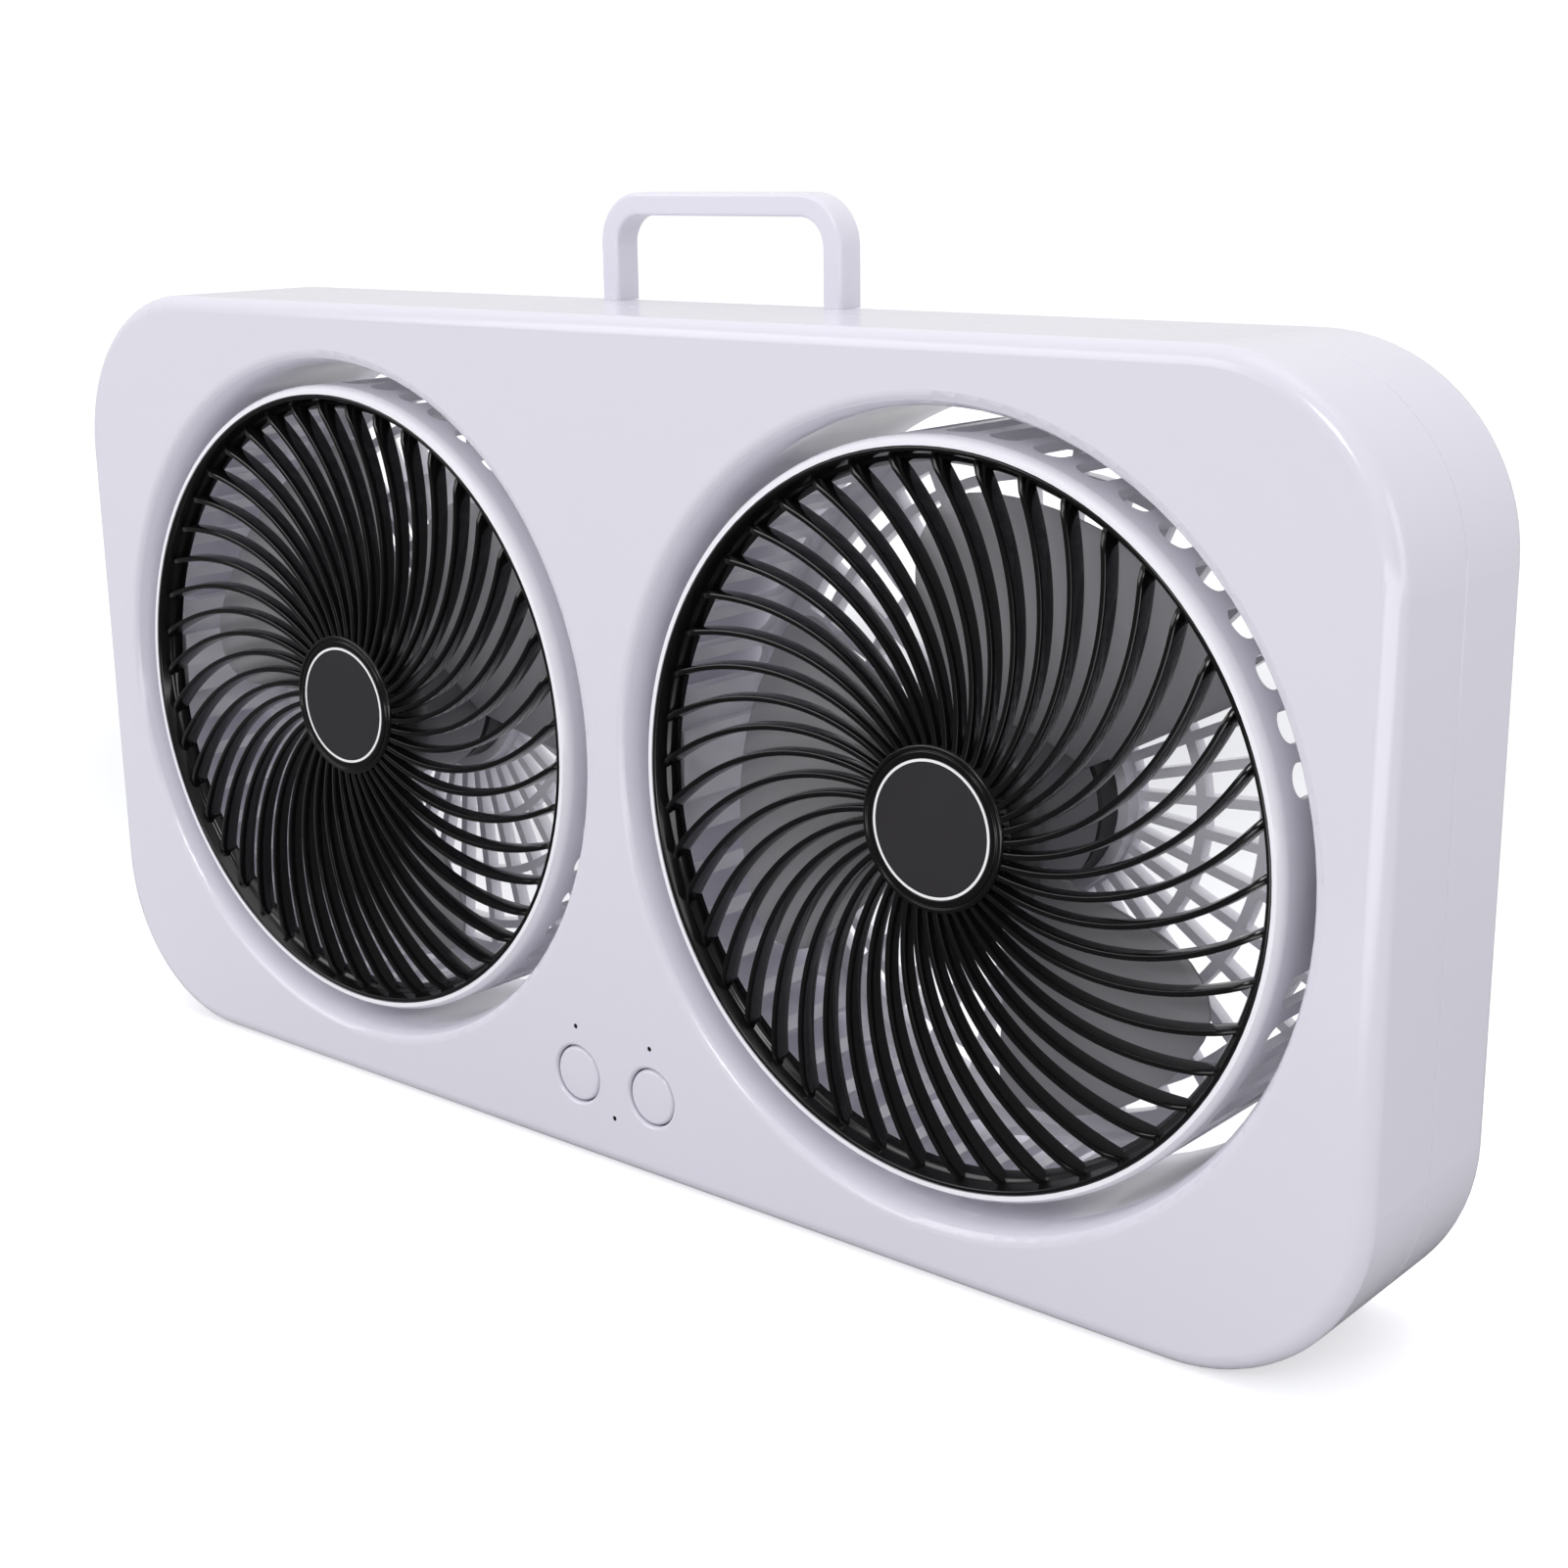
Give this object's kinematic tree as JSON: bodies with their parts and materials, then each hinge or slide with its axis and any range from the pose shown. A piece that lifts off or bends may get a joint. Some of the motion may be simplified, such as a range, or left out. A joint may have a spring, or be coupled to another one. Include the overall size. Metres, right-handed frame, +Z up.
{
  "type": "desk fan",
  "caption": "Flat rounded case holding tilting round fan heads with swirl front grilles, push buttons low on the front and a loop handle on top.",
  "frame": {"origin": "centre of the case's flat underside, on the plane where the two shells meet", "axes": "+X along the width to the viewer's right when facing the front, +Y from front to back, +Z up"},
  "size_m": [0.3086, 0.0408, 0.1796],
  "materials": {
    "case_plastic": "gloss, cool white",
    "cage_plastic": "satin, cool white",
    "grille_black": "gloss black",
    "badge_grey": "satin dark grey",
    "badge_white": "gloss white",
    "impeller_grey": "satin grey",
    "motor_can": "black coated",
    "shaft_steel": "ground",
    "screw_steel": "zinc plated",
    "ring_rubber": "matte",
    "bush_plastic": "natural acetal",
    "board_green": "solder mask",
    "switch_black": "matte",
    "lamp_white": "clear",
    "pipe_clear": "clear",
    "cell_can": "shrink sleeve",
    "cradle_plastic": "matte",
    "port_metal": "plated"
  },
  "bodies": {
    "housing": {"front_shell": "case_plastic", "rear_shell": "case_plastic", "case_screws": "screw_steel", "carry_handle": "case_plastic", "handle_screws": "screw_steel", "left_pivot_bushes": "bush_plastic", "right_pivot_bushes": "bush_plastic", "control_board": "board_green", "board_screws": "screw_steel", "tact_switches": "switch_black", "indicator_leds": "lamp_white", "light_pipes": "pipe_clear", "battery_cell": "cell_can", "battery_cradle": "cradle_plastic", "charge_board": "board_green", "charge_board_screws": "screw_steel", "usb_charge_port": "port_metal"},
    "left_head": {"left_rear_cage": "cage_plastic", "left_front_grille": "grille_black", "left_hub_badge": "badge_grey", "left_badge_ring": "badge_white", "left_friction_rings": "ring_rubber", "left_motor": "motor_can", "left_motor_screws": "screw_steel"},
    "left_fan": {"left_impeller": "impeller_grey", "left_motor_shaft": "shaft_steel"},
    "left_button_cap": {"left_button": "case_plastic"},
    "right_head": {"right_rear_cage": "cage_plastic", "right_front_grille": "grille_black", "right_hub_badge": "badge_grey", "right_badge_ring": "badge_white", "right_friction_rings": "ring_rubber", "right_motor": "motor_can", "right_motor_screws": "screw_steel"},
    "right_fan": {"right_impeller": "impeller_grey", "right_motor_shaft": "shaft_steel"},
    "right_button_cap": {"right_button": "case_plastic"}
  },
  "joints": [
    {"name": "left_tilt", "type": "hinge", "parent": "housing", "child": "left_head", "pos_m": [-0.074, 0, 0.0798], "axis": [1, 0, 0], "range_deg": [-90, 90]},
    {"name": "left_spin", "type": "hinge", "parent": "left_head", "child": "left_fan", "pos_m": [-0.074, 0, 0.0798], "axis": [0, 1, 0], "continuous": true},
    {"name": "left_press", "type": "slide", "parent": "housing", "child": "left_button_cap", "axis": [0, 1, 0], "range_m": [0, 0.0005], "stiffness_N_per_m": 2500},
    {"name": "right_tilt", "type": "hinge", "parent": "housing", "child": "right_head", "pos_m": [0.074, 0, 0.0798], "axis": [1, 0, 0], "range_deg": [-90, 90]},
    {"name": "right_spin", "type": "hinge", "parent": "right_head", "child": "right_fan", "pos_m": [0.074, 0, 0.0798], "axis": [0, 1, 0], "continuous": true},
    {"name": "right_press", "type": "slide", "parent": "housing", "child": "right_button_cap", "axis": [0, 1, 0], "range_m": [0, 0.0005], "stiffness_N_per_m": 2500}
  ]
}
